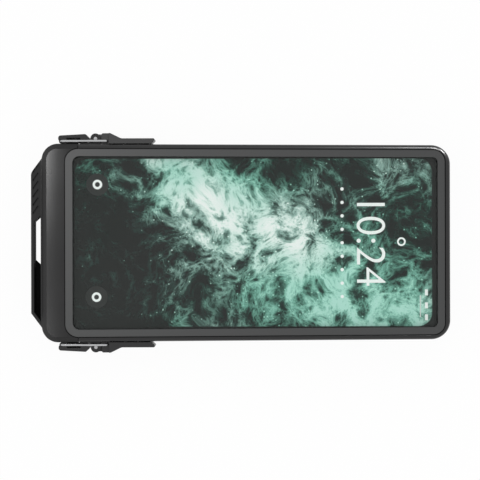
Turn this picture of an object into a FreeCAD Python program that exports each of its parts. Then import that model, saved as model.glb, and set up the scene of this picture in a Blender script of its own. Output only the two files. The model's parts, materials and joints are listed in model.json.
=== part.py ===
# Waterproof phone case: a drafted sleeve with a clear touch window. An end cap closes it,
# and two over-centre wire latches hold the cap on.
# Lengths are in mm. The case lies on its back: X runs along it with the cap at -X,
# the window faces +Z, and the origin is under the middle of the whole case.
import FreeCAD, Part
import math
import os

os.makedirs("parts", exist_ok=True)
V = FreeCAD.Vector

# Sleeve
sleeve_length = 161.8
side_draft = 0.0053             # half width lost for each mm towards the closed end
plan_corner_r = 8.3
front_edge_r = 2.0
back_bevel = 2.2
end_wall = 2.7

# Neck that goes into the cap
neck_length = 11.3
neck_wall = 2.05
neck_step = 1.85                # from the sleeve's skin in to the neck
neck_corner_r = 4.0

# Phone pocket
pocket_half_width = 39.2
pocket_height = 11.0
pocket_back_r = 2.4
pocket_front_r = 0.5
pocket_end_r = 3.0
front_ledge = 1.0               # wall between the pocket and the window parts

# Window frame
frame_overhang = 5.8            # reach of the frame past the seam, over the neck
frame_side_rim = 2.2            # from the sleeve's skin to the frame, along the sides
frame_end_rim = 2.4
frame_groove = 0.35             # open groove between rim and frame
frame_left_tuck = 0.2           # the left corners end this far before the seam
frame_right_r = 5.0
frame_side_band = 3.1
frame_left_band = 3.2
frame_right_band = 3.05
opening_left_r = 3.0
opening_right_r = 2.2
frame_thickness = 1.5
frame_below_rim = 0.3
frame_skirt = 0.8               # outer wall of the frame, down round film and seal
fit_gap = 0.1

# Film, seal and card
film_thickness = 0.4
seal_thickness = 0.4
seal_setback = 0.2
card_thickness = 0.6
card_overlap = 0.9              # how far the card reaches under the ledge
card_end_gap = 0.6
rail_height = 0.7
rail_depth = 0.8
rail_setback = 10.0             # from each end of the card to the rails that carry it

# Ring seal on the neck
gasket_r = 0.6
gasket_sides = 6
gasket_from_mouth = 2.5
gasket_proud = 0.12
gasket_groove_extra = 0.3

# End cap
cap_length = 16.25
seam_gap = 0.3                  # between cap and sleeve
cap_proud = 0.2                 # cap wider than the sleeve's mouth, each side
cap_corner_r = 7.2
cap_front_bevel = 2.3
cap_crown = 0.8                 # fall of the cap's front face towards its end
cap_crown_flat = 5.0            # flat part of that face, beside the seam
cap_gap = 0.2                   # between neck and cap, all round
cap_end_gap = 0.5               # between the neck's end and the cap's end wall
notch_gap = 0.3                 # between the window frame and the cap's cut-out

# Grip bar with strap slot on the cap's end
tab_reach = 4.7
tab_below_front = 4.0
tab_above_bevel = 0.8
tab_root_inset = 6.3            # from the cap's side to the bar's root
tab_tip_inset = 12.6
tab_tip_r = 4.0
tab_bar = 1.25
tab_inner_wall = 0.5
tab_floor = 1.5
slot_top_y = 12.0
slot_bottom_y = -10.2
slot_slant = 2.7
tab_groove_pitch = 3.6
tab_groove_width = 0.75
tab_groove_depth = 0.7
tab_groove_run = 2.3
tab_groove_lean = 3.3
tab_groove_start = 0.7          # first groove's place past the slot, in pitches
tab_lower_r = 1.0

# Latch
pin_from_seam = 7.2
pin_height = 2.55               # above the sleeve's side
pin_r = 0.75
pin_running_gap = 0.05
pin_end = 0.15                  # pin standing out of each ear
ear_r = 2.25
ear_pad = 0.5                   # raised pad that carries the ears
ear_inner = 2.05                # half distance between the two ears
ear_outer = 4.0
wire_r = 0.575
wire_bend_r = 0.75
wire_bend_cuts = 1              # straight lengths in each bend
wire_sides = 12
bail_height = 1.35
bail_side_gap = 0.425           # between keeper and wire
bail_length = 19.9
hook_from_pin = 5.1
hook_core_gap = 0.15            # between the wire's bent end and the lever's narrow part
hook_front_gap = 0.275          # between hook and the lever's wide part
lever_gap = 0.25                # under the lever
lever_front_gap = 0.4           # between ear and lever
lever_core_beyond_ear = 0.2
lever_beyond_wire = 0.6         # lever's side past the middle of the wire
lever_hump_height = 4.85
lever_hump_flat = 0.6
lever_slope_run = 4.8
lever_tail_height = 2.5
lever_length = 26.9
lever_tail_bevel = 2.6
lever_edge_r = 0.3
lever_slope_r = 2.5
lever_hump_r = 2.0
lever_front_r = 0.7
lever_skin = 1.0
lever_side_wall = 1.2
lever_rib = 0.9
lever_rib_count = 2
lever_cell_start = 1.5          # solid length at the front of the wide part
knuckle_r = 1.9
knuckle_gap = 0.1
tooth_reach = 0.8
tooth_clearance = 0.12
tooth_slope = 42.0              # degrees
tooth_top_width = 1.0
tooth_edge_r = 0.3
tooth_root = 0.5                # tooth carried on into the lever's side

# Keeper on the cap
keeper_half_width = 5.3
keeper_heel = 1.4               # from the crossbar's centre to the beam's outer tip
keeper_eye_r = 1.05
keeper_foot_gap = 0.35          # from the crossbar to the foot
keeper_foot = 1.3
keeper_rib_half = 1.2
keeper_rib_setback = 0.2
keeper_tail_height = 3.6
keeper_nose_height = 4.25
keeper_arm = 1.35
keeper_nose_length = 4.0
keeper_nose_low = 0.5
keeper_nose_gap = 0.25          # from keeper to ear
keeper_nose_taper_low = 0.9
keeper_nose_taper_high = 1.8
keeper_front_r = 0.5
keeper_top_r = 0.7
keeper_tail_r = 1.1
wire_bore_gap = 0.05
keeper_screw_r = 0.55
keeper_screw_head_r = 1.1
keeper_screw_head = 0.6
keeper_screw_length = 3.9

# Camera window in the back
lens_from_end = 24.0            # from the pocket's end to the middle of the lens
lens_from_side = 22.2
lens_open_x = 37.0
lens_open_y = 35.0
lens_open_r = 6.5
lens_seat = 2.2                 # width of the seat round the opening
lens_thickness = 1.0
lens_seal_thickness = 0.5
bezel_flange = 0.5
bezel_wall = 1.2
bezel_recess = 0.2              # below the back face
lens_ledge = 1.2                # wall between lens seat and pocket

# Pads
back_pad_thickness = 0.8
back_pad_gap = 0.5
cap_pad_thickness = 2.0
cap_pad_gap = 1.3

# Places worked out from the sizes
bezel_depth = bezel_recess + bezel_flange + lens_thickness + lens_seal_thickness
back_wall = bezel_depth + lens_ledge
mouth_half_width = pocket_half_width + neck_wall + neck_step
cap_half_width = mouth_half_width + cap_proud
overall_length = sleeve_length + cap_length + tab_reach
end_x = overall_length / 2
seam_x = end_x - sleeve_length
cap_end_x = seam_x - cap_length
cap_mouth_x = seam_x - seam_gap
tab_end_x = cap_end_x - tab_reach
neck_end_x = seam_x - neck_length
pocket_top = back_wall + pocket_height
pocket_end_x = end_x - end_wall
ledge_top = pocket_top + front_ledge
film_low = ledge_top + seal_thickness
film_high = film_low + film_thickness
frame_high = film_high + frame_thickness
thickness = frame_high + frame_below_rim
middle_z = thickness / 2
frame_left_r = frame_overhang - frame_left_tuck
frame_left_x = seam_x - frame_overhang
frame_right_x = end_x - frame_end_rim
neck_half_width = mouth_half_width - neck_step
neck_low = neck_step
neck_high = thickness - neck_step
card_low = pocket_top - card_thickness
pin_x = seam_x + pin_from_seam
hook_x = pin_x + hook_from_pin
cross_x = hook_x - bail_length
bail_half_width = keeper_half_width + bail_side_gap + wire_r
lever_core_half = ear_outer + lever_core_beyond_ear
hook_inner = lever_core_half + hook_core_gap
tooth_outer = lever_core_half + tooth_reach
lever_half_width = bail_half_width + lever_beyond_wire
lever_wide_from = hook_from_pin + wire_r + hook_front_gap
lever_hump_end = lever_wide_from + lever_hump_flat
lever_slope_end = lever_hump_end + lever_slope_run
tab_low = back_bevel + tab_above_bevel
tab_high = thickness - tab_below_front
tab_root_half = cap_half_width - tab_root_inset
tab_tip_half = cap_half_width - tab_tip_inset
lens_x = pocket_end_x - lens_from_end
lens_y = lens_from_side - pocket_half_width


def half_width(x):
    return mouth_half_width - side_draft * (x - seam_x)


side_y = half_width(pin_x)
pin_y = side_y + pin_height
bail_y = side_y + bail_height


# Closed wire through corner points, each corner rounded by its own radius
def rounded_wire(points, radii):
    count = len(points)
    spans = []
    for i, corner in enumerate(points):
        to_last = (points[i - 1] - corner).normalize()
        to_next = (points[(i + 1) % count] - corner).normalize()
        half = to_last.getAngle(to_next) / 2
        inward = (to_last + to_next).normalize()
        reach = radii[i] / math.tan(half)
        middle = corner + inward * (radii[i] / math.sin(half) - radii[i])
        spans.append((corner + to_last * reach, middle, corner + to_next * reach))
    edges = []
    for i, (start, middle, finish) in enumerate(spans):
        if radii[i] > 0:
            edges.append(Part.Arc(start, middle, finish).toShape())
        following = spans[(i + 1) % count][0]
        if (following - finish).Length > 1e-6:
            edges.append(Part.makeLine(finish, following))
    return Part.Wire(edges)


def prism(points, radii, direction):
    return Part.Face(rounded_wire(points, radii)).extrude(direction)


# Slab that follows the sleeve's draft, seen from the front
def plan_slab(left, right, inset, left_r, right_r, low, high):
    left_half = half_width(left) - inset
    right_half = half_width(right) - inset
    points = [V(left, -left_half, low), V(right, -right_half, low),
              V(right, right_half, low), V(left, left_half, low)]
    return prism(points, [left_r, right_r, right_r, left_r], V(0, 0, high - low))


# Straight bar along X with a rounded rectangular section
def section_bar(left, right, half_y, low, high, back_r, front_r):
    points = [V(left, -half_y, low), V(left, half_y, low),
              V(left, half_y, high), V(left, -half_y, high)]
    return prism(points, [back_r, back_r, front_r, front_r], V(right - left, 0, 0))


# Rectangle with equal corners, seen from the back, grown by a margin
def lens_slab(margin, low, high):
    half_x = lens_open_x / 2 + margin
    half_y = lens_open_y / 2 + margin
    points = [V(lens_x - half_x, lens_y - half_y, low), V(lens_x + half_x, lens_y - half_y, low),
              V(lens_x + half_x, lens_y + half_y, low), V(lens_x - half_x, lens_y + half_y, low)]
    return prism(points, [lens_open_r + margin] * 4, V(0, 0, high - low))


# Latch profile in mm from the pin along the case and from the sleeve's side outward
def latch_prism(profile, radii, inner, outer):
    points = [V(pin_x + u, side_y + v, middle_z + inner) for u, v in profile]
    return prism(points, radii, V(0, 0, outer - inner))


def latch_cylinder(u, v, radius, inner, outer):
    foot = V(pin_x + u, side_y + v, middle_z + inner)
    return Part.makeCylinder(radius, outer - inner, foot, V(0, 0, 1))


# Many-sided section round a point, in the plane of side and up
def section_wire(centre, side, up, radius, sides):
    turns = [2 * math.pi * (i + 0.5) / sides for i in range(sides + 1)]
    return Part.makePolygon([centre + side * (radius * math.cos(t)) + up * (radius * math.sin(t))
                             for t in turns])


# Ring seal along a closed path in a plane across X
def swept_ring(path, radius, sides):
    first = path.OrderedEdges[0]
    start = first.valueAt(first.FirstParameter)
    out = first.tangentAt(first.FirstParameter).cross(V(1, 0, 0))
    return path.makePipeShell([section_wire(start, V(1, 0, 0), out, radius, sides)], True, False)


# Wire through points whose first length runs along Z, mitred where it turns
def mitred_wire(points, radius, sides):
    section = section_wire(points[0], V(1, 0, 0), V(0, 1, 0), radius, sides)
    right_corner = 1
    return Part.makePolygon(points).makePipeShell([section], True, False, right_corner)


def mirrored(shape):
    return shape.mirror(V(0, 0, 0), V(0, 1, 0))


def outer_edges(shape, height, open_x):
    chosen = []
    for edge in shape.Edges:
        flat = all(abs(p.Point.z - height) < 1e-6 for p in edge.Vertexes)
        at_seam = all(abs(p.Point.x - open_x) < 1e-6 for p in edge.Vertexes)
        if flat and not at_seam:
            chosen.append(edge)
    return chosen


def frame_slab(grow, low, high):
    return plan_slab(frame_left_x - grow, frame_right_x + grow, frame_side_rim - grow,
                     frame_left_r + grow, frame_right_r + grow, low, high)


def window_slab(grow, low, high):
    return plan_slab(frame_left_x + frame_left_band - grow, frame_right_x - frame_right_band + grow,
                     frame_side_rim + frame_side_band - grow,
                     opening_left_r + grow, opening_right_r + grow, low, high)


def neck_bar(left, right, inset):
    return section_bar(left, right, neck_half_width - inset, neck_low + inset, neck_high - inset,
                       neck_corner_r - inset, neck_corner_r - inset)


# Round path of the ring seal and its groove
def gasket_place():
    centre_x = neck_end_x + gasket_from_mouth
    depth = 2 * gasket_r - gasket_proud
    return centre_x, depth


def make_neck_gasket():
    centre_x, depth = gasket_place()
    inset = depth - gasket_r
    half_y = neck_half_width - inset
    low = neck_low + inset
    high = neck_high - inset
    points = [V(centre_x, -half_y, low), V(centre_x, half_y, low),
              V(centre_x, half_y, high), V(centre_x, -half_y, high)]
    return swept_ring(rounded_wire(points, [neck_corner_r - inset] * 4), gasket_r, gasket_sides)


def make_sleeve():
    body = plan_slab(seam_x, end_x, 0, 0, plan_corner_r, 0, thickness)
    body = body.makeFillet(front_edge_r, outer_edges(body, thickness, seam_x))
    body = body.makeChamfer(back_bevel, outer_edges(body, 0, seam_x))
    neck = neck_bar(neck_end_x, seam_x + 1, 0)
    tongue = frame_slab(0, neck_high - neck_corner_r, ledge_top)
    tongue = tongue.common(Part.makeBox(frame_overhang + 1, 4 * pocket_half_width, thickness,
                                        V(frame_left_x, -2 * pocket_half_width, 0)))
    body = body.fuse([neck, tongue] + sleeve_ears())
    # Room for the frame, with an open groove round it where the sleeve has a rim
    over_neck = frame_slab(fit_gap, ledge_top, thickness + 1)
    in_rim = frame_slab(frame_groove, ledge_top, thickness + 1)
    in_rim = in_rim.common(Part.makeBox(sleeve_length, 4 * pocket_half_width, 2 * thickness,
                                        V(seam_x, -2 * pocket_half_width, 0)))
    centre_x, depth = gasket_place()
    groove_half = gasket_r + gasket_groove_extra / 2
    groove = neck_bar(centre_x - groove_half, centre_x + groove_half, -1)
    groove = groove.cut(neck_bar(centre_x - groove_half, centre_x + groove_half, depth))
    lens_recess = lens_slab(lens_seat + bezel_wall, -1, bezel_depth)
    lens_hole = lens_slab(0, 0, back_wall + 1)
    body = body.cut([pocket(0), over_neck, in_rim, window_slab(0, pocket_top - 1, thickness),
                     groove, lens_recess, lens_hole])
    return body.fuse(card_rails()).removeSplitter()


# Phone pocket, open at the neck; a margin makes it smaller
def pocket(margin):
    left = neck_end_x - 1
    right = pocket_end_x - margin
    bar = section_bar(left, right, pocket_half_width - margin, back_wall, pocket_top,
                      pocket_back_r, pocket_front_r)
    half = pocket_half_width - margin
    points = [V(left, -half, 0), V(right, -half, 0), V(right, half, 0), V(left, half, 0)]
    return bar.common(prism(points, [0, pocket_end_r, pocket_end_r, 0], V(0, 0, thickness)))


# Ribs along both long walls of the pocket that carry the card
def card_rails():
    left, right = card_ends()
    rails = []
    for side in (-1, 1):
        inner = pocket_half_width - rail_depth
        rail = Part.makeBox(right - left - 2 * rail_setback, rail_depth + fit_gap, rail_height,
                            V(left + rail_setback, inner, card_low - rail_height))
        rails.append(rail if side > 0 else mirrored(rail))
    return rails


def card_ends():
    left = frame_left_x + frame_left_band - card_overlap
    right = pocket_end_x - card_end_gap
    return left, right


def sleeve_ears():
    ears = []
    root = -neck_step
    top = pin_height + ear_r
    profile = [(-ear_r, root), (ear_r, root), (ear_r, top), (-ear_r, top)]
    for near, far in ((ear_inner, ear_outer), (-ear_outer, -ear_inner)):
        ear = latch_prism(profile, [0, 0, ear_r, ear_r], near, far)
        ear = ear.cut(latch_cylinder(0, pin_height, pin_r, near - 1, far + 1))
        ears += [ear, mirrored(ear)]
    pad_left = cap_mouth_x + 2 * seam_gap - pin_x
    profile = [(pad_left, root), (ear_r, root), (ear_r, ear_pad), (pad_left, ear_pad)]
    pad = latch_prism(profile, [0, 0, 0, 0], -keeper_half_width, keeper_half_width)
    return ears + [pad, mirrored(pad)]


def make_window_frame():
    ring = frame_slab(0, ledge_top, frame_high).cut(window_slab(0, ledge_top, frame_high))
    room = frame_slab(-frame_skirt, ledge_top - 1, film_high)
    return ring.cut(room)


def make_touch_membrane():
    return frame_slab(-frame_skirt, film_low, film_high)


def make_membrane_seal():
    ring = frame_slab(-frame_skirt, ledge_top, film_low)
    return ring.cut(window_slab(seal_setback, ledge_top - 1, film_high))


def make_display_card():
    left, right = card_ends()
    half = pocket_half_width - pocket_front_r - fit_gap
    points = [V(left, -half, card_low), V(right, -half, card_low),
              V(right, half, card_low), V(left, half, card_low)]
    return prism(points, [pocket_end_r] * 4, V(0, 0, card_thickness))


def make_back_pad():
    left = neck_end_x + back_pad_gap + cap_pad_thickness
    right = pocket_end_x - pocket_back_r
    half = pocket_half_width - pocket_back_r
    points = [V(left, -half, back_wall), V(right, -half, back_wall),
              V(right, half, back_wall), V(left, half, back_wall)]
    sheet = prism(points, [pocket_end_r] * 4, V(0, 0, back_pad_thickness))
    return sheet.cut(lens_slab(back_pad_gap, back_wall - 1, back_wall + back_pad_thickness + 1))


def make_lens_parts():
    glass_low = bezel_recess + bezel_flange
    glass_high = glass_low + lens_thickness
    seat_top = bezel_depth
    glass = lens_slab(lens_seat, glass_low, glass_high)
    seal = lens_slab(lens_seat, glass_high, seat_top)
    seal = seal.cut(lens_slab(seal_setback, glass_high - 1, seat_top + 1))
    bezel = lens_slab(lens_seat + bezel_wall - fit_gap, bezel_recess, seat_top)
    bezel = bezel.cut([lens_slab(0, -1, seat_top + 1), lens_slab(lens_seat, glass_low, seat_top + 1)])
    return glass, seal, bezel


# End cap: crowned block, hollow skirt, cut-out for the window frame, grip bar
def make_end_cap():
    crown_start = seam_x - cap_crown_flat
    crown_run = crown_start - cap_end_x
    reach = 2 * cap_half_width
    crown_mid = V(crown_start - crown_run / 2, -reach / 2, thickness - cap_crown / 4)
    outline = Part.Wire([
        Part.makeLine(V(cap_mouth_x, -reach / 2, 0), V(cap_mouth_x, -reach / 2, thickness)),
        Part.makeLine(V(cap_mouth_x, -reach / 2, thickness), V(crown_start, -reach / 2, thickness)),
        Part.Arc(V(crown_start, -reach / 2, thickness), crown_mid,
                 V(cap_end_x, -reach / 2, thickness - cap_crown)).toShape(),
        Part.makeLine(V(cap_end_x, -reach / 2, thickness - cap_crown), V(cap_end_x, -reach / 2, 0)),
        Part.makeLine(V(cap_end_x, -reach / 2, 0), V(cap_mouth_x, -reach / 2, 0))])
    crowned = Part.Face(outline).extrude(V(0, reach, 0))
    points = [V(cap_end_x, -cap_half_width, 0), V(cap_mouth_x, -cap_half_width, 0),
              V(cap_mouth_x, cap_half_width, 0), V(cap_end_x, cap_half_width, 0)]
    plan = prism(points, [cap_corner_r, 0, 0, cap_corner_r], V(0, 0, 2 * thickness))
    body = crowned.common(plan)
    front = []
    for edge in body.Edges:
        box = edge.BoundBox
        at_seam = box.XMin > cap_mouth_x - 1e-6
        across_crown = box.YMax - box.YMin > cap_half_width and box.XMax > cap_end_x + cap_corner_r / 2
        if box.ZMin > thickness - cap_crown - 1e-6 and not at_seam and not across_crown:
            front.append(edge)
    body = body.makeChamfer(cap_front_bevel, front)
    body = body.makeChamfer(back_bevel, outer_edges(body, 0, cap_mouth_x))
    body = body.fuse(grip_bar())
    bore = section_bar(neck_end_x - cap_end_gap, seam_x + 1, neck_half_width + cap_gap,
                       neck_low - cap_gap, neck_high + cap_gap,
                       neck_corner_r + cap_gap, neck_corner_r + cap_gap)
    notch = frame_slab(notch_gap, neck_high - neck_corner_r - notch_gap, 2 * thickness)
    body = body.cut([bore, notch] + keeper_screw_solids())
    return body.removeSplitter()


def grip_bar():
    root_x = cap_end_x + 1
    rise = V(0, 0, tab_high - tab_low)
    points = [V(root_x, tab_root_half, tab_low), V(cap_end_x, tab_root_half, tab_low),
              V(tab_end_x, tab_tip_half, tab_low), V(tab_end_x, -tab_tip_half, tab_low),
              V(cap_end_x, -tab_root_half, tab_low), V(root_x, -tab_root_half, tab_low)]
    bar = prism(points, [0, 0, tab_tip_r, tab_lower_r, 0, 0], rise)
    outer_x = tab_end_x + tab_bar
    inner_x = cap_end_x - tab_inner_wall
    # The pocket's lower end runs beside the bar's slanted end
    slant = math.atan2(tab_root_half - tab_tip_half, tab_reach)
    shift = tab_bar / math.sin(slant)

    def slanted_end(x):
        return -(tab_tip_half + (x - shift - tab_end_x) * math.tan(slant))

    def slot(bottom_outer, bottom_inner, low):
        outline = [V(outer_x, slot_top_y - slot_slant, low), V(inner_x, slot_top_y, low),
                   V(inner_x, bottom_inner, low), V(outer_x, bottom_outer, low)]
        return prism(outline, [0, 0, 0, 0], V(0, 0, 2 * tab_high))

    pocket_cut = slot(slanted_end(outer_x), slanted_end(inner_x), tab_low + tab_floor)
    through_cut = slot(slot_bottom_y + slot_slant, slot_bottom_y, tab_low - 1)
    grooves = []
    groove_mid_x = (tab_end_x + cap_end_x) / 2 - tab_inner_wall / 2
    for i in range(int((tab_tip_half - slot_top_y) / tab_groove_pitch) + 1):
        groove_y = slot_top_y + (i + tab_groove_start) * tab_groove_pitch
        centre = V(groove_mid_x, groove_y, tab_high - tab_groove_depth)
        half_run = V(tab_groove_run / 2, tab_groove_lean / 2, 0)
        half_gap = V(-half_run.y, half_run.x, 0).normalize() * (tab_groove_width / 2)
        outline = [centre - half_run - half_gap, centre + half_run - half_gap,
                   centre + half_run + half_gap, centre - half_run + half_gap]
        grooves.append(prism(outline, [0, 0, 0, 0], V(0, 0, 2 * tab_groove_depth)))
    return bar.cut([pocket_cut, through_cut] + grooves)


def make_cap_pad():
    left = neck_end_x - cap_end_gap
    return section_bar(left, left + cap_pad_thickness, pocket_half_width - cap_pad_gap,
                       back_wall + cap_pad_gap, pocket_top - cap_pad_gap, pocket_back_r, pocket_back_r)


# Keeper: a foot on the cap, an eye round the crossbar, a beam over the wires and a blunt
# nose beside the ears. The rib under the beam takes the screw.
def make_keeper():
    base = cap_half_width - side_y
    bar = cross_x - pin_x
    foot, rib_end = keeper_rib_ends()
    tip = bar - keeper_heel
    nose = -ear_r - keeper_nose_gap
    nose_left = nose - keeper_nose_length
    nose_low = base + keeper_nose_low
    nose_high = base + keeper_nose_height
    tail_high = base + keeper_tail_height
    beam_low = (tail_high + nose_high) / 2 - keeper_arm
    beam = [(foot, base), (foot + keeper_foot, base), (foot + keeper_foot, beam_low),
            (nose_left, beam_low), (nose_left, nose_low), (nose - keeper_nose_taper_low, nose_low),
            (nose, (nose_low + nose_high) / 2), (nose - keeper_nose_taper_high, nose_high),
            (tip, tail_high), (tip, bail_height), (foot, bail_height)]
    radii = [0, 0, 0, 0, 0, 0, keeper_front_r, keeper_top_r, keeper_tail_r, keeper_tail_r, 0]
    rib = [(foot, base), (rib_end, base), (rib_end, nose_low), (nose_left + keeper_foot, nose_low),
           (nose_left + keeper_foot, tail_high - keeper_foot), (foot, tail_high - keeper_foot)]
    half = keeper_half_width
    body = latch_prism(beam, radii, -half, half)
    body = body.fuse([latch_cylinder(bar, bail_height, keeper_eye_r, -half, half),
                      latch_prism(rib, [0] * len(rib), -keeper_rib_half, keeper_rib_half)])
    bore = latch_cylinder(bar, bail_height, wire_r + wire_bore_gap, -half - 1, half + 1)
    return body.cut([bore, keeper_screw_solids()[0]]).removeSplitter()


# Where the keeper's rib starts and ends, from the pin
def keeper_rib_ends():
    start = cross_x - pin_x + wire_r + keeper_foot_gap
    return start, cap_mouth_x - keeper_rib_setback - pin_x


# One screw for each keeper, driven outward from inside the cap; +Y side first
def keeper_screw_solids():
    start, finish = keeper_rib_ends()
    seat = V(pin_x + (start + finish) / 2, neck_half_width + cap_gap, middle_z)
    head = Part.makeCone(keeper_screw_head_r, keeper_screw_r, keeper_screw_head, seat, V(0, 1, 0))
    shank = Part.makeCylinder(keeper_screw_r, keeper_screw_length, seat, V(0, 1, 0))
    screw = head.fuse(shank)
    return [screw, mirrored(screw)]


def make_bail():
    path = [(hook_inner, hook_x), (bail_half_width, hook_x), (bail_half_width, cross_x),
            (-bail_half_width, cross_x), (-bail_half_width, hook_x), (-hook_inner, hook_x)]
    points = [V(x, bail_y, middle_z + w) for w, x in path]
    bent = [points[0]]
    for i in range(1, len(points) - 1):
        to_last = (points[i - 1] - points[i]).normalize()
        to_next = (points[i + 1] - points[i]).normalize()
        centre = points[i] + (to_last + to_next) * wire_bend_r
        for step in range(wire_bend_cuts + 1):
            turn = math.pi / 2 * step / wire_bend_cuts
            outward = to_next * math.cos(turn) + to_last * math.sin(turn)
            bent.append(centre - outward * wire_bend_r)
    return mitred_wire(bent + [points[-1]], wire_r, wire_sides)


def lever_profile(left):
    return [(left, lever_gap), (lever_length - lever_tail_bevel, lever_gap),
            (lever_length, lever_tail_height), (lever_slope_end, lever_tail_height),
            (lever_hump_end, lever_hump_height), (left, lever_hump_height)]


def make_lever():
    core_left = ear_r + lever_front_gap
    radii = [0, lever_edge_r, 2 * lever_edge_r, lever_slope_r, lever_hump_r]
    core = latch_prism(lever_profile(core_left), radii + [lever_front_r], -lever_core_half, lever_core_half)
    wide = latch_prism(lever_profile(lever_wide_from), radii + [0], -lever_half_width, lever_half_width)
    knuckle_half = ear_inner - knuckle_gap
    knuckle = latch_cylinder(0, pin_height, knuckle_r, -knuckle_half, knuckle_half)
    link = latch_prism([(0, pin_height - knuckle_r), (core_left + 1, pin_height - knuckle_r),
                        (core_left + 1, pin_height + knuckle_r), (0, pin_height + knuckle_r)],
                       [0, 0, 0, 0], -knuckle_half, knuckle_half)
    body = core.fuse([wide, knuckle, link] + lever_teeth(core_left))
    bore = latch_cylinder(0, pin_height, pin_r + pin_running_gap, -knuckle_half - 1, knuckle_half + 1)
    return body.cut([bore] + lever_cells()).removeSplitter()


# Teeth on both sides of the lever that the wire's hooked ends pull against
def lever_teeth(core_left):
    slope = math.radians(tooth_slope)
    away = wire_r + tooth_clearance
    edge_u = hook_from_pin - away * math.sin(slope)
    edge_v = bail_height - away * math.cos(slope)
    low_u = edge_u + (edge_v - lever_gap) / math.tan(slope)
    top_u = core_left + tooth_top_width
    high_v = edge_v + (edge_u - top_u) * math.tan(slope)
    profile = [(core_left, lever_gap), (low_u, lever_gap), (top_u, high_v), (core_left, high_v)]
    teeth = []
    root = lever_core_half - tooth_root
    for near, far in ((root, tooth_outer), (-tooth_outer, -root)):
        teeth.append(latch_prism(profile, [0, 0, tooth_edge_r, tooth_edge_r], near, far))
    return teeth


# Hollow under the lever's tail, crossed by ribs
def lever_cells():
    left = lever_wide_from + lever_cell_start
    right = lever_length - lever_tail_bevel - lever_side_wall
    length = (right - left - lever_rib_count * lever_rib) / (lever_rib_count + 1)
    ceiling = lever_tail_height - lever_skin
    cells = []
    for i in range(lever_rib_count + 1):
        start = left + i * (length + lever_rib)
        outline = [(start, lever_gap - 1), (start + length, lever_gap - 1),
                   (start + length, ceiling), (start, ceiling)]
        half = lever_half_width - lever_side_wall
        cells.append(latch_prism(outline, [0, 0, 0, 0], -half, half))
    return cells


def make_lever_pin():
    reach = ear_outer + pin_end
    return latch_cylinder(0, pin_height, pin_r, -reach, reach)


glass, lens_seal, bezel = make_lens_parts()
nodes = {
    "sleeve": make_sleeve(),
    "window_frame": make_window_frame(),
    "touch_membrane": make_touch_membrane(),
    "membrane_seal": make_membrane_seal(),
    "neck_gasket": make_neck_gasket(),
    "display_card": make_display_card(),
    "back_pad": make_back_pad(),
    "lens_window": glass,
    "lens_gasket": lens_seal,
    "lens_bezel": bezel,
    "end_cap": make_end_cap(),
    "cap_pad": make_cap_pad(),
    "keeper_screws": Part.Compound(keeper_screw_solids()),
}
for name, shape in (("keeper", make_keeper()), ("bail", make_bail()),
                    ("lever", make_lever()), ("lever_pin", make_lever_pin())):
    nodes[name + "_top"] = shape
    nodes[name + "_bottom"] = mirrored(shape)

for name, shape in nodes.items():
    shape.exportStep("parts/" + name + ".step")
    print(name, len(shape.Solids), "solids", round(shape.Volume, 1), "mm3", shape.isValid())
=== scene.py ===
# Waterproof phone case lying on its back, seen from straight above.
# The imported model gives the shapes. This script gives the finishes, the printed card, the round
# wires, the light and the camera. Lengths are written in millimetres and turned to metres with mm.
import json
import math

import bmesh
import bpy
from mathutils import Matrix, Vector


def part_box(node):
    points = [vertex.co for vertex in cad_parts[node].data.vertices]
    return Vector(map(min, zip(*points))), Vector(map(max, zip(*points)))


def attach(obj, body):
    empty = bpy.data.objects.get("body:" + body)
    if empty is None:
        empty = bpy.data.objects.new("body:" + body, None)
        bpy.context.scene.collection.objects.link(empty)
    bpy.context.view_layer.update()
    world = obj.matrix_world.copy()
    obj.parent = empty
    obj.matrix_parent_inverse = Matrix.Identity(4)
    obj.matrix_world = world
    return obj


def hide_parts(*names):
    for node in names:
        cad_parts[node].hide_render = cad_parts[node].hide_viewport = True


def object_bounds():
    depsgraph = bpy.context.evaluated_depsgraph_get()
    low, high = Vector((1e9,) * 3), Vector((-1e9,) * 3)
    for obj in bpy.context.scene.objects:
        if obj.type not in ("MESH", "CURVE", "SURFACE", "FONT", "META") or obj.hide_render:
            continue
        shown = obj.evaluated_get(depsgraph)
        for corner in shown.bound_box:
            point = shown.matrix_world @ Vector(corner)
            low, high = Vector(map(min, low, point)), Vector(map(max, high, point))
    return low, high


mm = 0.001
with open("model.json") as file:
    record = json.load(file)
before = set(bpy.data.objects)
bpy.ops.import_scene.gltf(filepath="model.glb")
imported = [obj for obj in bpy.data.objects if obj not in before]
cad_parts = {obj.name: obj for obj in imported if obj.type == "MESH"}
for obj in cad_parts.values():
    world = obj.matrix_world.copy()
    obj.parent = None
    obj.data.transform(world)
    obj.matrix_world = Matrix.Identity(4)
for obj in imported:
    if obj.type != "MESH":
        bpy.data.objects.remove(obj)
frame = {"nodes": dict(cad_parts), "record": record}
nodes = frame["nodes"]
cadLow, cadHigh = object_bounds()
print("frame loaded:", len(nodes), "nodes")

photoSize = 480         # the photograph's width and height in pixels
pixelsPerMm = 2.30      # at the front face of the case


# One sRGB hex colour as linear RGBA
def linear(hexColour):
    channels = []
    for i in (1, 3, 5):
        value = int(hexColour[i:i + 2], 16) / 255
        channels.append(value / 12.92 if value <= 0.04045 else ((value + 0.055) / 1.055) ** 2.4)
    return (*channels, 1.0)


# Adds one node: settings go to its sockets or properties, links maps its inputs to other outputs
def addNode(tree, kind, settings=None, links=None):
    node = tree.nodes.new("ShaderNode" + kind)
    for name, value in (settings or {}).items():
        if isinstance(name, int) or name in node.inputs:
            node.inputs[name].default_value = value
        else:
            setattr(node, name, value)
    for name, source in (links or {}).items():
        tree.links.new(source, node.inputs[name])
    return node


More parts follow.
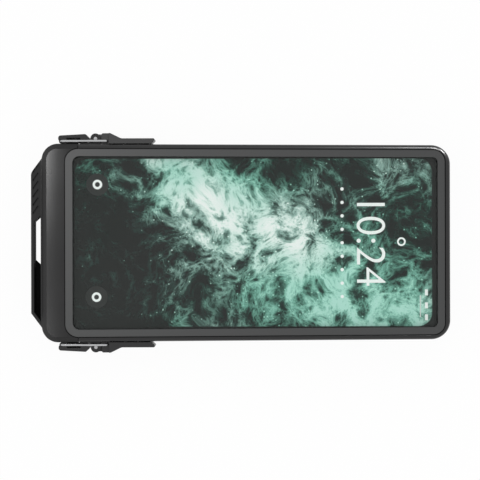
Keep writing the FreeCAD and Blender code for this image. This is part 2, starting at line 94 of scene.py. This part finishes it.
# An empty material, its node tree and the row frame's coordinates in metres
def newMaterial(name):
    material = bpy.data.materials.new(name)
    material.use_nodes = True
    tree = material.node_tree
    tree.nodes.clear()
    place = addNode(tree, "TexCoord").outputs["Object"]
    return material, tree, place


def finishMaterial(tree, shader):
    addNode(tree, "OutputMaterial", {}, {"Surface": shader})


# sheen is how far the roughness goes up and down from one patch of the surface to the next.
# In mm: patch, the size of such a patch; grain and relief, the size and height of the grain; edge,
# how far the edges are rounded; recess, a box from and to along X, Y and Z, with recessRough in it.
# The cap and the sleeve are one plastic in two copies: the sleeve's is painted lighter and glossier and the
# cap's darker, as the light and shade on each.
capLook = {"colour": "#070708", "ior": 1.36, "roughness": 0.26, "patch": 18, "sheen": 0.04,
           "grain": 0.35, "relief": 0.0015, "edge": 0.25,
           "recess": ((-92.0, -86.9), (-36.0, 36.0), (3.3, 14.6)), "recessRough": 0.78}
sleeveLitLook = {"colour": "#121213", "ior": 1.45, "roughness": 0.26, "patch": 18, "sheen": 0.04,
              "grain": 0.35, "relief": 0.0015, "edge": 0.25}
frameLook = {"colour": "#3b3c3c", "ior": 1.44, "roughness": 0.50, "patch": 18, "sheen": 0.03,
             "grain": 0.40, "relief": 0.005, "edge": 0.12}
latchLook = {"colour": "#141415", "ior": 1.50, "roughness": 0.34, "patch": 18, "sheen": 0.06,
             "grain": 0.45, "relief": 0.004, "edge": 0.2,
             "recess": ((-77.0, -68.5), (-46.4, 46.4), (3.9, 13.6)), "recessRough": 0.9}
recessFade = 0.2        # how far inside a recess the surface reaches its full roughness, mm


# Slots and pockets are left rougher off the tool than the open faces, which makes them dark
def recessRoughness(tree, place, look, outside):
    low, high = (Vector(side) * mm for side in zip(*look["recess"]))
    above = addNode(tree, "VectorMath", {"operation": "SUBTRACT", 1: low}, {0: place})
    below = addNode(tree, "VectorMath", {"operation": "SUBTRACT", 0: high}, {1: place})
    least = addNode(tree, "VectorMath", {"operation": "MINIMUM"},
                    {0: above.outputs["Vector"], 1: below.outputs["Vector"]})
    depths = addNode(tree, "SeparateXYZ", {}, {"Vector": least.outputs["Vector"]})
    flat = addNode(tree, "Math", {"operation": "MINIMUM"}, {0: depths.outputs["X"], 1: depths.outputs["Y"]})
    depth = addNode(tree, "Math", {"operation": "MINIMUM"},
                    {0: flat.outputs["Value"], 1: depths.outputs["Z"]})
    inside = addNode(tree, "MapRange", {"From Min": 0.0, "From Max": recessFade * mm,
                                        "To Max": look["recessRough"]}, {"Value": depth.outputs["Value"]})
    both = addNode(tree, "Math", {"operation": "MAXIMUM"}, {0: outside, 1: inside.outputs["Result"]})
    return both.outputs["Value"]


# Injection-moulded plastic off a spark-eroded tool: an even fine grain, a satin sheen that
# changes slowly over the part, and edges that are never quite sharp.
# The real grain is about 0.1 mm; it is drawn coarser so that it shows.
def mouldedPlastic(name, look):
    material, tree, place = newMaterial(name)
    cloud = addNode(tree, "TexNoise", {"Scale": 1 / (look["patch"] * mm), "Detail": 3.0}, {"Vector": place})
    gloss = addNode(tree, "MapRange", {"To Min": look["roughness"] - look["sheen"],
                                       "To Max": look["roughness"] + look["sheen"]},
                    {"Value": cloud.outputs["Fac"]})
    rounded = addNode(tree, "Bevel", {"samples": 4, "Radius": look["edge"] * mm})
    grain = addNode(tree, "TexNoise", {"Scale": 1 / (look["grain"] * mm), "Detail": 2.0},
                    {"Vector": place})
    relief = addNode(tree, "Bump", {"Strength": 1.0, "Distance": look["relief"] * mm},
                     {"Height": grain.outputs["Fac"], "Normal": rounded.outputs["Normal"]})
    roughness = gloss.outputs["Result"]
    if "recess" in look:
        roughness = recessRoughness(tree, place, look, roughness)
    plastic = addNode(tree, "BsdfPrincipled", {"Base Color": linear(look["colour"]), "IOR": look["ior"]},
                      {"Roughness": roughness, "Normal": relief.outputs["Normal"]})
    finishMaterial(tree, plastic.outputs["BSDF"])
    return material


# ripple and relief: length and height of the sheet's slow waves, mm
filmLook = {"ior": 1.50, "roughness": 0.03, "headOn": 0.085, "tint": "#fafcfb", "ripple": 30, "relief": 0.02}
lensLook = {"ior": 1.52, "roughness": 0.01, "headOn": 0.05, "tint": "#fafcfb", "ripple": 30, "relief": 0.02}


# Clear polycarbonate or acrylic sheet, calendered: seen through, with a smooth gloss on the side
# that faces the viewer. The gloss is what Fresnel adds at a low angle, above its headOn share;
# the varnish on the card behind gives that share, which keeps the dark print free of grain.
def clearSheet(name, look):
    material, tree, place = newMaterial(name)
    ripple = addNode(tree, "TexNoise", {"Scale": 1 / (look["ripple"] * mm), "Detail": 1.0}, {"Vector": place})
    wavy = addNode(tree, "Bump", {"Strength": 1.0, "Distance": look["relief"] * mm},
                   {"Height": ripple.outputs["Fac"]})
    fresnel = addNode(tree, "Fresnel", {"IOR": look["ior"]}, {"Normal": wavy.outputs["Normal"]})
    facing = addNode(tree, "NewGeometry")
    front = addNode(tree, "Math", {"operation": "SUBTRACT", 0: 1.0}, {1: facing.outputs["Backfacing"]})
    raised = addNode(tree, "Math", {"operation": "SUBTRACT", "use_clamp": True, 1: look["headOn"]},
                     {0: fresnel.outputs["Fac"]})
    amount = addNode(tree, "Math", {"operation": "MULTIPLY"},
                     {0: raised.outputs["Value"], 1: front.outputs["Value"]})
    seen = addNode(tree, "BsdfTransparent", {"Color": linear(look["tint"])})
    gloss = addNode(tree, "BsdfGlossy", {"Roughness": look["roughness"]}, {"Normal": wavy.outputs["Normal"]})
    both = addNode(tree, "MixShader", {}, {"Fac": amount.outputs["Value"],
                                           1: seen.outputs["BSDF"], 2: gloss.outputs["BSDF"]})
    finishMaterial(tree, both.outputs["Shader"])
    return material


# bloom and relief: size and height of the cloudy skin, mm. spread: how far its roughness goes
# up and down.
sealLook = {"colour": "#141415", "roughness": 0.55, "spread": 0.1, "bloom": 0.6, "relief": 0.01}
ringLook = {"colour": "#8d2f1d", "roughness": 0.38, "spread": 0.1, "bloom": 0.8, "relief": 0.01}


# Moulded silicone: soft, slightly greasy sheen
def mouldedSilicone(name, look):
    material, tree, place = newMaterial(name)
    bloom = addNode(tree, "TexNoise", {"Scale": 1 / (look["bloom"] * mm), "Detail": 4.0}, {"Vector": place})
    gloss = addNode(tree, "MapRange", {"To Min": look["roughness"] - look["spread"],
                                       "To Max": look["roughness"] + look["spread"]},
                    {"Value": bloom.outputs["Fac"]})
    skin = addNode(tree, "Bump", {"Strength": 0.4, "Distance": look["relief"] * mm},
                   {"Height": bloom.outputs["Fac"]})
    rubber = addNode(tree, "BsdfPrincipled", {"Base Color": linear(look["colour"]), "IOR": 1.42},
                     {"Roughness": gloss.outputs["Result"], "Normal": skin.outputs["Normal"]})
    finishMaterial(tree, rubber.outputs["BSDF"])
    return material


foamLook = {"pitShade": "#0d0d0e", "colour": "#1e1f20", "cell": 0.7, "relief": 0.12}    # cell, relief: mm


# Closed-cell foam, skived to sheet: cut cells make a dry, pitted face
def closedCellFoam(name, look):
    material, tree, place = newMaterial(name)
    cells = addNode(tree, "TexVoronoi", {"Scale": 1 / (look["cell"] * mm)}, {"Vector": place})
    pits = addNode(tree, "Bump", {"Strength": 0.8, "Distance": look["relief"] * mm},
                   {"Height": cells.outputs["Distance"]})
    # The pits take the darker colour: painted shade in the hollows of the cut cells.
    pitShadedTone = addNode(tree, "ValToRGB", {}, {"Fac": cells.outputs["Distance"]})
    pitShadedTone.color_ramp.elements[0].color = linear(look["pitShade"])
    pitShadedTone.color_ramp.elements[1].color = linear(look["colour"])
    foam = addNode(tree, "BsdfPrincipled", {"Roughness": 0.9, "IOR": 1.45},
                   {"Base Color": pitShadedTone.outputs["Color"], "Normal": pits.outputs["Normal"]})
    finishMaterial(tree, foam.outputs["BSDF"])
    return material


# line and length: width and length of the die lines, mm, and the roughness that they vary between
steelLook = {"colour": "#b5b6b7", "line": 0.12, "length": 6.0, "smooth": 0.26, "rough": 0.44}


# Bright drawn stainless wire: a clean metal with faint die lines along the draw
def drawnStainless(name, look):
    material, tree, place = newMaterial(name)
    along, across = 1 / (look["length"] * mm), 1 / (look["line"] * mm)
    stretched = addNode(tree, "Mapping", {"Scale": (along, across, across)}, {"Vector": place})
    lines = addNode(tree, "TexNoise", {"Scale": 1.0, "Detail": 2.0}, {"Vector": stretched.outputs["Vector"]})
    gloss = addNode(tree, "MapRange", {"To Min": look["smooth"], "To Max": look["rough"]},
                    {"Value": lines.outputs["Fac"]})
    steel = addNode(tree, "BsdfPrincipled", {"Base Color": linear(look["colour"]), "Metallic": 1.0},
                    {"Roughness": gloss.outputs["Result"]})
    finishMaterial(tree, steel.outputs["BSDF"])
    return material


cardLook = {
    "swirl": 40, "push": 30,            # size of the slow swirls and how far they drag the print, mm
    "cloud": 21, "cloudShare": 0.75,    # size of the pale clouds, mm, and how strongly they print
    "vein": 13, "veinShare": 0.27,      # size of the fine veins, mm, and the same for them
    "beltAngle": -34, "beltHalf": 26,   # the pale belt: degrees from the long side, half width in mm
    "beltPlace": (8, 4),                # a point on the belt's middle, mm
    "beltEdge": (0.1, 1.3),             # where its fading starts and ends, in half widths off its middle
    "beltLevel": (-0.13, -0.53),        # added to the print's level in the belt and outside it
    "darkEnd": (-54, -26),              # the print fades in between these places along the card, mm
    "darkLevel": -0.30,                 # added to the print's level before the first of them
    "patch": 45, "patchInk": "#b9e6da",  # size of the greener patches, mm, and the tint over them
    "patchFrom": (0.42, 0.60),          # the noise levels between which the tint comes in
    "patchShare": (0.08, 1.0),          # and its share below and above them
    "fleck": 1.3,                       # spacing of the cells that may carry a fleck, mm
    "fleckEdge": (0.30, 0.12),          # in spacings off its middle, where a fleck ends and is full
    "fleckChance": (0.80, 0.95),        # a cell's random number from which it shows, and is full
    "fleckNear": (0.16, 0.36),          # the print's level from which flecks show, and are full
    "fleckLevel": 0.45,                 # what a full fleck adds to the print's level
    "printLow": (-72.2, -36.6),         # two corners of the printed field, mm
    "printHigh": (83.6, 36.6),
    "printCorner": 6.0, "printEdge": 0.2,   # its corner radius and half the width of its soft edge, mm
    "stops": ((0.00, "#1a1a1a"), (0.20, "#1a1b1b"), (0.40, "#273a36"), (0.56, "#6a877f"),
              (0.72, "#a9c7bf"), (0.88, "#eef9f5"), (1.00, "#ffffff")),
    "margin": "#1a1a1a", "board": "#3b3c3c",
    "roughness": 0.25, "ior": 1.46,     # of the varnish
}


# How strongly the pattern prints at a place: clouds and veins that slow swirls have dragged about,
# strongest along a belt and fading towards one end
def marbleLevel(tree, place, look):
    swirl = addNode(tree, "TexNoise", {"Scale": 1 / (look["swirl"] * mm), "Detail": 3.0, "Roughness": 0.5},
                    {"Vector": place})
    push = look["push"] * mm
    drag = addNode(tree, "VectorMath", {"operation": "MULTIPLY_ADD", 1: (push, push, 0)},
                   {0: swirl.outputs["Color"], 2: place})
    dragged = drag.outputs["Vector"]
    cloud = addNode(tree, "TexNoise", {"Scale": 1 / (look["cloud"] * mm), "Detail": 12.0,
                                       "Roughness": 0.68, "Distortion": 0.35}, {"Vector": dragged})
    vein = addNode(tree, "TexNoise", {"noise_type": "RIDGED_MULTIFRACTAL", "Scale": 1 / (look["vein"] * mm),
                                      "Detail": 8.0, "Roughness": 0.74, "Lacunarity": 2.1, "Offset": 1.0,
                                      "Gain": 2.0, "Distortion": 0.25}, {"Vector": dragged})
    # the swirls move the print by half of push on average, so places on the card are moved with it
    middle = Vector((look["beltPlace"][0] * mm + push / 2, look["beltPlace"][1] * mm + push / 2, 0))
    fadeFrom, fadeTo = (end * mm + push / 2 for end in look["darkEnd"])
    turn = math.radians(look["beltAngle"])
    across = Vector((-math.sin(turn), math.cos(turn), 0)) / (look["beltHalf"] * mm)
    shifted = addNode(tree, "VectorMath", {"operation": "SUBTRACT", 1: middle}, {0: dragged})
    reach = addNode(tree, "VectorMath", {"operation": "DOT_PRODUCT", 1: across},
                    {0: shifted.outputs["Vector"]})
    away = addNode(tree, "Math", {"operation": "ABSOLUTE"}, {0: reach.outputs["Value"]})
    belt = addNode(tree, "MapRange", {"interpolation_type": "SMOOTHSTEP",
                                      "From Min": look["beltEdge"][0], "From Max": look["beltEdge"][1],
                                      "To Min": look["beltLevel"][0], "To Max": look["beltLevel"][1]},
                   {"Value": away.outputs["Value"]})
    axes = addNode(tree, "SeparateXYZ", {}, {"Vector": dragged})
    fade = addNode(tree, "MapRange", {"interpolation_type": "SMOOTHSTEP",
                                      "From Min": fadeFrom, "From Max": fadeTo,
                                      "To Min": look["darkLevel"], "To Max": 0.0},
                   {"Value": axes.outputs["X"]})
    clouds = addNode(tree, "Math", {"operation": "MULTIPLY_ADD", 1: look["cloudShare"]},
                     {0: cloud.outputs["Fac"], 2: belt.outputs["Result"]})
    faded = addNode(tree, "Math", {"operation": "ADD"},
                    {0: clouds.outputs["Value"], 1: fade.outputs["Result"]})
    level = addNode(tree, "Math", {"operation": "MULTIPLY_ADD", 1: look["veinShare"]},
                    {0: vein.outputs["Fac"], 2: faded.outputs["Value"]})
    return level.outputs["Value"]


# Adds a fine spatter: a few of the cells near the clouds carry a small pale fleck
def spatteredLevel(tree, place, level, look):
    cells = addNode(tree, "TexVoronoi", {"Scale": 1 / (look["fleck"] * mm)}, {"Vector": place})
    fleck = addNode(tree, "MapRange", {"From Min": look["fleckEdge"][0], "From Max": look["fleckEdge"][1]},
                    {"Value": cells.outputs["Distance"]})
    chance = addNode(tree, "SeparateColor", {}, {"Color": cells.outputs["Color"]})
    chosen = addNode(tree, "MapRange", {"From Min": look["fleckChance"][0],
                                        "From Max": look["fleckChance"][1]},
                     {"Value": chance.outputs["Red"]})
    near = addNode(tree, "MapRange", {"From Min": look["fleckNear"][0], "From Max": look["fleckNear"][1],
                                      "To Max": look["fleckLevel"]}, {"Value": level})
    placed = addNode(tree, "Math", {"operation": "MULTIPLY"},
                     {0: fleck.outputs["Result"], 1: chosen.outputs["Result"]})
    spattered = addNode(tree, "Math", {"operation": "MULTIPLY_ADD"},
                        {0: placed.outputs["Value"], 1: near.outputs["Result"], 2: level})
    return spattered.outputs["Value"]


# 1 outside the printed field, a rectangle with round corners, and 0 inside it
def marginShare(tree, place, look):
    (lowX, lowY), (highX, highY) = look["printLow"], look["printHigh"]
    corner = look["printCorner"]
    middle = Vector(((lowX + highX) / 2, (lowY + highY) / 2, 0)) * mm
    # half the straight sides; the height plays no part, so it has far more than the case is high
    straight = Vector(((highX - lowX) / 2 - corner, (highY - lowY) / 2 - corner, 1000)) * mm
    centred = addNode(tree, "VectorMath", {"operation": "SUBTRACT", 1: middle}, {0: place})
    folded = addNode(tree, "VectorMath", {"operation": "ABSOLUTE"}, {0: centred.outputs["Vector"]})
    beyond = addNode(tree, "VectorMath", {"operation": "SUBTRACT", 1: straight},
                     {0: folded.outputs["Vector"]})
    outer = addNode(tree, "VectorMath", {"operation": "MAXIMUM", 1: (0, 0, 0)},
                    {0: beyond.outputs["Vector"]})
    radius = addNode(tree, "VectorMath", {"operation": "LENGTH"}, {0: outer.outputs["Vector"]})
    outside = addNode(tree, "MapRange", {"From Min": (corner - look["printEdge"]) * mm,
                                         "From Max": (corner + look["printEdge"]) * mm},
                      {"Value": radius.outputs["Value"]})
    return outside.outputs["Result"]


# Offset-printed card under a gloss varnish: a made-up marbled pattern, pale veined clouds on
# charcoal with teal patches and a fine spatter, inside a plain dark margin
def printedCard(name, look):
    material, tree, place = newMaterial(name)
    level = spatteredLevel(tree, place, marbleLevel(tree, place, look), look)
    ink = addNode(tree, "ValToRGB", {}, {"Fac": level})
    ramp = ink.color_ramp
    for i, (stop, colour) in enumerate(look["stops"]):
        element = ramp.elements[i] if i < 2 else ramp.elements.new(stop)    # a ramp starts with two
        element.position = stop
        element.color = linear(colour)
    patch = addNode(tree, "TexNoise", {"Scale": 1 / (look["patch"] * mm), "Detail": 2.0}, {"Vector": place})
    tealShare = addNode(tree, "MapRange", {"From Min": look["patchFrom"][0], "From Max": look["patchFrom"][1],
                                           "To Min": look["patchShare"][0], "To Max": look["patchShare"][1]},
                        {"Value": patch.outputs["Fac"]})
    # a colour mix has its share at input 0, its colours at 6 and 7 and its colour result at output 2
    tinted = addNode(tree, "Mix", {"data_type": "RGBA", "blend_type": "MULTIPLY",
                                   7: linear(look["patchInk"])},
                     {0: tealShare.outputs["Result"], 6: ink.outputs["Color"]})
    bordered = addNode(tree, "Mix", {"data_type": "RGBA", 7: linear(look["margin"])},
                       {0: marginShare(tree, place, look), 6: tinted.outputs[2]})
    # only the front is printed: the edges and the back show the grey board
    surface = addNode(tree, "NewGeometry")
    facing = addNode(tree, "SeparateXYZ", {}, {"Vector": surface.outputs["Normal"]})
    front = addNode(tree, "Math", {"operation": "GREATER_THAN", 1: 0.5}, {0: facing.outputs["Z"]})
    faces = addNode(tree, "Mix", {"data_type": "RGBA", 6: linear(look["board"])},
                    {0: front.outputs["Value"], 7: bordered.outputs[2]})
    card = addNode(tree, "BsdfPrincipled", {"Roughness": look["roughness"], "IOR": look["ior"]},
                   {"Base Color": faces.outputs[2]})
    finishMaterial(tree, card.outputs["BSDF"])
    return material


inkLook = {"white": "#ffffff", "pale": "#d5dcd9", "dark": "#454545",
           "mottle": 0.8, "smooth": 0.35, "rough": 0.5}     # mottle: size of the uneven sheen, mm


# Screen-printed solid ink: opaque, with an uneven sheen
def plainInk(name, colour, look):
    material, tree, place = newMaterial(name)
    mottle = addNode(tree, "TexNoise", {"Scale": 1 / (look["mottle"] * mm), "Detail": 2.0}, {"Vector": place})
    gloss = addNode(tree, "MapRange", {"To Min": look["smooth"], "To Max": look["rough"]},
                    {"Value": mottle.outputs["Fac"]})
    ink = addNode(tree, "BsdfPrincipled", {"Base Color": linear(colour), "Specular IOR Level": 0.05},
                  {"Roughness": gloss.outputs["Result"]})
    finishMaterial(tree, ink.outputs["BSDF"])
    return material


# Finishes by the record's material slot. The sleeve shares the cap's slot and plastic; its own copy is
# lighter and glossier, which paints in the light that falls on it.
finishes = {
    "shell": mouldedPlastic("mouldedPolycarbonate", capLook),
    "sleeve": mouldedPlastic("mouldedPolycarbonateSleeveLit", sleeveLitLook),
    "frame": mouldedPlastic("texturedFramePlastic", frameLook),
    "latch": mouldedPlastic("mouldedNylon", latchLook),
    "film": clearSheet("polycarbonateFilm", filmLook),
    "lens": clearSheet("polishedAcrylic", lensLook),
    "card": printedCard("printedCard", cardLook),
    "foam": closedCellFoam("closedCellFoam", foamLook),
    "seal": mouldedSilicone("blackSilicone", sealLook),
    "ring_seal": mouldedSilicone("redSilicone", ringLook),
    "steel": drawnStainless("drawnStainlessWire", steelLook),
}
whiteInk = plainInk("whitePrint", inkLook["white"], inkLook)
paleInk = plainInk("palePrint", inkLook["pale"], inkLook)
darkInk = plainInk("darkPrint", inkLook["dark"], inkLook)

for part in frame["record"]["subparts"]:
    slots = nodes[part["node"]].data.materials
    slots.clear()
    slots.append(finishes.get(part["node"], finishes[part["material_slot"]]))
print("finishes set on the CAD nodes:", len(finishes))


# The camera stands straight above: distance from the front face, middle of the view and its width
# in mm, turn in degrees
cameraLook = {"distance": 950, "centre": (-0.145, 1.13), "turn": -0.13,
              "fieldWidth": photoSize / pixelsPerMm}
# Places are in the photograph's pixels and are set on the card's face. Sizes are in mm, and a hole
# is a share of its ring's radius.
printLook = {
    "clock": "10:24", "clockSize": 18.4, "clockThin": -0.18, "clockPixel": (357.0, 241.0),
    "dotRow": (342.5, 189.0, 297.0),                # across, and down from and to
    "dotCount": 9, "dotRadius": 0.75, "dotSides": 20,
    "buttons": ((97.0, 184.0), (95.9, 297.0)), "buttonRadius": 4.85, "buttonSides": 48,
    "buttonMarkRadius": 2.1, "buttonMarkHole": 0.5,
    "mark": (402.0, 242.0), "markRadius": 1.9, "markHole": 0.6, "markSides": 32,
    "bars": (427.0, (293.0, 306.0, 318.0)),         # across, and down to each bar
    "barSize": (1.3, 2.6),
    "handle": (421.0, 296.0, 318.0),                # across, and down from and to
    "handleWidth": 0.5,
}
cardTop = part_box("display_card")[1].z
inkLift = 0.02 * mm


# A pixel of the photograph as a place on the card, layer times inkLift above its face
def onCard(pixel, layer=1):
    x = ((pixel[0] - photoSize / 2) / pixelsPerMm + cameraLook["centre"][0]) * mm
    y = ((photoSize / 2 - pixel[1]) / pixelsPerMm + cameraLook["centre"][1]) * mm
    return Vector((x, y, cardTop + layer * inkLift))


def addPrint(name, mesh, material):
    piece = bpy.data.objects.new(name, mesh)
    bpy.context.scene.collection.objects.link(piece)
    mesh.materials.append(material)
    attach(piece, "case")


def printShape(name, shape, material):
    mesh = bpy.data.meshes.new(name)
    shape.to_mesh(mesh)
    shape.free()
    addPrint(name, mesh, material)


# Flat discs, or rings where hole is the inner radius as a share of the outer one
def flatDiscs(name, places, radius, material, sides, hole=0.0):
    shape = bmesh.new()
    for place in places:
        outer = [shape.verts.new(place + Vector((radius * math.cos(t), radius * math.sin(t), 0)))
                 for t in (2 * math.pi * i / sides for i in range(sides))]
        if hole:
            inner = [shape.verts.new(place + (v.co - place) * hole) for v in outer]
            for i in range(sides):
                j = (i + 1) % sides
                shape.faces.new((outer[i], outer[j], inner[j], inner[i]))
        else:
            shape.faces.new(outer)
    printShape(name, shape, material)


def flatBars(name, places, sizeX, sizeY, material):
    shape = bmesh.new()
    for place in places:
        corners = [place + Vector((sx * sizeX / 2, sy * sizeY / 2, 0))
                   for sx, sy in ((-1, -1), (1, -1), (1, 1), (-1, 1))]
        shape.faces.new([shape.verts.new(c) for c in corners])
    printShape(name, shape, material)


def makeClock(look):
    text = bpy.data.curves.new("clockText", "FONT")
    text.body = look["clock"]
    text.size = look["clockSize"] * mm
    text.align_x = "CENTER"
    text.offset = look["clockThin"] * mm    # thins the strokes
    text.resolution_u = 6
    holder = bpy.data.objects.new("clockText", text)
    bpy.context.scene.collection.objects.link(holder)
    bpy.context.view_layer.update()
    mesh = bpy.data.meshes.new_from_object(holder)
    bpy.data.objects.remove(holder)
    # the case lies on its side in the picture, so the digits' tops point to +X
    mesh.transform(Matrix.Translation(onCard(look["clockPixel"])) @ Matrix.Rotation(-math.pi / 2, 4, "Z"))
    mesh.name = "clockDigits"
    addPrint("clockDigits", mesh, whiteInk)


def makeCardPrint(look):
    makeClock(look)
    dotX, dotFrom, dotTo = look["dotRow"]
    step = (dotTo - dotFrom) / (look["dotCount"] - 1)
    dots = [onCard((dotX, dotFrom + i * step)) for i in range(look["dotCount"])]
    flatDiscs("dotRow", dots, look["dotRadius"] * mm, whiteInk, look["dotSides"])
    buttons = look["buttons"]
    flatDiscs("roundButtons", [onCard(p) for p in buttons], look["buttonRadius"] * mm, darkInk,
              look["buttonSides"])
    flatDiscs("buttonMarks", [onCard(p, 2) for p in buttons], look["buttonMarkRadius"] * mm, whiteInk,
              look["markSides"], look["buttonMarkHole"])
    flatDiscs("ringMark", [onCard(look["mark"])], look["markRadius"] * mm, whiteInk,
              look["markSides"], look["markHole"])
    barX, barRows = look["bars"]
    flatBars("statusBars", [onCard((barX, y)) for y in barRows], look["barSize"][0] * mm,
             look["barSize"][1] * mm, whiteInk)
    handleX, handleFrom, handleTo = look["handle"]
    flatBars("handleBar", [onCard((handleX, (handleFrom + handleTo) / 2))], look["handleWidth"] * mm,
             (handleTo - handleFrom) / pixelsPerMm * mm, paleInk)


makeCardPrint(printLook)
print("card print made")


# bend: radius at the wire's middle line, mm. hookTip: where a hook ends, from the wire's middle, mm.
bailLook = {"bend": 0.75, "bendSteps": 8, "hookTip": 4.35, "roundness": 6}


# Path of one bail from hook to hook, in the plane of its box, and the wire's radius
def bailPath(node, look):
    low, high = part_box(node)
    radius = (high.y - low.y) / 2
    y, z = (low.y + high.y) / 2, (low.z + high.z) / 2
    crossX, hookX = low.x + radius, high.x - radius
    half = (high.z - low.z) / 2 - radius
    tip = look["hookTip"] * mm
    bend = look["bend"] * mm
    corners = [(hookX, tip), (hookX, half), (crossX, half), (crossX, -half), (hookX, -half), (hookX, -tip)]
    corners = [Vector((x, y, z + w)) for x, w in corners]
    path = [corners[0]]
    for last, here, following in zip(corners, corners[1:], corners[2:]):
        toLast, toNext = (last - here).normalized(), (following - here).normalized()
        centre = here + (toLast + toNext) * bend
        for i in range(look["bendSteps"] + 1):
            turn = math.pi / 2 * i / look["bendSteps"]
            outward = toNext * math.cos(turn) + toLast * math.sin(turn)
            path.append(centre - outward * bend)
    return path + [corners[-1]], radius


def makeBail(node, look):
    path, radius = bailPath(node, look)
    curve = bpy.data.curves.new(node + "Wire", "CURVE")
    curve.dimensions = "3D"
    spline = curve.splines.new("POLY")
    spline.points.add(len(path) - 1)
    for point, place in zip(spline.points, path):
        point.co = (*place, 1)
    curve.bevel_depth = radius
    curve.bevel_resolution = look["roundness"]
    curve.use_fill_caps = True
    curve.materials.append(finishes["steel"])
    wire = bpy.data.objects.new(node + "Wire", curve)
    bpy.context.scene.collection.objects.link(wire)
    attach(wire, node)
    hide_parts(node)


for node in ("bail_top", "bail_bottom"):
    makeBail(node, bailLook)
print("wires made")


# size and gap, the floor's distance under the case, are in mm
floorLook = {"colour": "#f4f4f3", "size": 6000, "shadowShare": 0.05, "gap": 0.05}
worldLook = {"ambient": 0.98}
# Softboxes: place, aim and size in mm, power in watts and the nodes that each one lights
softboxLook = {
    "capCrown": {"place": (-212, 90, 290), "aim": (-80, 20, 20), "size": (100, 100), "power": 0.95,
                 "lights": ("end_cap", "window_frame")},
    "capLow": {"place": (-212, -130, 290), "aim": (-80, -20, 20), "size": (100, 100), "power": 0.60,
               "lights": ("end_cap",)},
    "topRim": {"place": (155, 271, 241), "aim": (80, 40, 20), "size": (90, 50), "power": 1.3,
               "lights": ("sleeve",)},
    "corner": {"place": (281, 243, 119), "aim": (80, 40, 20), "size": (70, 70), "power": 1.6,
               "lights": ("sleeve",)},
    "overhead": {"place": (40, 140, 1200), "aim": (0, 0, 0), "size": (400, 400), "power": 1.1,
                 "lights": ("lever_top",)},
}


# 1 where the ray comes from the camera or from gloss or glass, so that all of them see plain white
def seenDirectly(tree):
    path = addNode(tree, "LightPath")
    first = addNode(tree, "Math", {"operation": "MAXIMUM"},
                    {0: path.outputs["Is Camera Ray"], 1: path.outputs["Is Glossy Ray"]})
    return addNode(tree, "Math", {"operation": "MAXIMUM"},
                   {0: first.outputs["Value"], 1: path.outputs["Is Transmission Ray"]}).outputs["Value"]


# White paper that keeps the faint shadow of the case
def makeFloor(look):
    material, tree, _ = newMaterial("paperSweep")
    paper = addNode(tree, "BsdfDiffuse", {"Color": linear(look["colour"])})
    white = addNode(tree, "Emission", {"Strength": 1.0})
    part = addNode(tree, "Math", {"operation": "MULTIPLY", 1: 1 - look["shadowShare"]},
                   {0: seenDirectly(tree)})
    both = addNode(tree, "MixShader", {}, {"Fac": part.outputs["Value"],
                                           1: paper.outputs["BSDF"], 2: white.outputs["Emission"]})
    # seen through from below, so that a view from there shows the back of the case
    clear = addNode(tree, "BsdfTransparent")
    side = addNode(tree, "NewGeometry")
    sheet = addNode(tree, "MixShader", {}, {"Fac": side.outputs["Backfacing"],
                                            1: both.outputs["Shader"], 2: clear.outputs["BSDF"]})
    finishMaterial(tree, sheet.outputs["Shader"])
    mesh = bpy.data.meshes.new("floor")
    half = look["size"] * mm / 2
    level = cadLow.z - look["gap"] * mm
    corners = [Vector((sx * half, sy * half, level)) for sx, sy in ((-1, -1), (1, -1), (1, 1), (-1, 1))]
    mesh.from_pydata(corners, [], [(0, 1, 2, 3)])
    mesh.materials.append(material)
    floor = bpy.data.objects.new("floor", mesh)
    bpy.context.scene.collection.objects.link(floor)


def makeWorld(look):
    world = bpy.data.worlds.new("paleRoom")
    world.use_nodes = True
    tree = world.node_tree
    tree.nodes.clear()
    strength = addNode(tree, "MapRange", {"To Min": look["ambient"], "To Max": 1.0},
                       {"Value": seenDirectly(tree)})
    room = addNode(tree, "Background", {"Color": (1, 1, 1, 1)}, {"Strength": strength.outputs["Result"]})
    addNode(tree, "OutputWorld", {}, {"Surface": room.outputs["Background"]})
    bpy.context.scene.world = world


# Small softboxes close to the case draw the lines of light along its edges. They only make
# gloss, and each lights only the pieces that it names, so that the clear film stays free of
# hard reflections and the matt parts keep the room's even light.
def addSoftbox(name, look):
    light = bpy.data.lights.new(name, "AREA")
    light.shape = "RECTANGLE"
    light.size, light.size_y = (side * mm for side in look["size"])
    light.energy = look["power"]
    lamp = bpy.data.objects.new(name, light)
    place, aim = Vector(look["place"]) * mm, Vector(look["aim"]) * mm
    lamp.location = place
    lamp.rotation_euler = (aim - place).to_track_quat("-Z", "Y").to_euler()
    lamp.visible_diffuse = False
    receivers = bpy.data.collections.new(name + "Pieces")
    for node in look["lights"]:
        receivers.objects.link(nodes[node])
    lamp.light_linking.receiver_collection = receivers
    bpy.context.scene.collection.objects.link(lamp)


def makeCamera(look):
    camera = bpy.data.cameras.new("camera")
    camera.lens = camera.sensor_width * look["distance"] / look["fieldWidth"]
    holder = bpy.data.objects.new("camera", camera)
    holder.location = (look["centre"][0] * mm, look["centre"][1] * mm, cadHigh.z + look["distance"] * mm)
    holder.rotation_euler = (0, 0, math.radians(look["turn"]))
    bpy.context.scene.collection.objects.link(holder)
    bpy.context.scene.camera = holder


makeFloor(floorLook)
makeWorld(worldLook)
for name, look in softboxLook.items():
    addSoftbox(name + "Softbox", look)
makeCamera(cameraLook)
bpy.context.scene.view_settings.view_transform = "Standard"
print("floor, light and camera set")
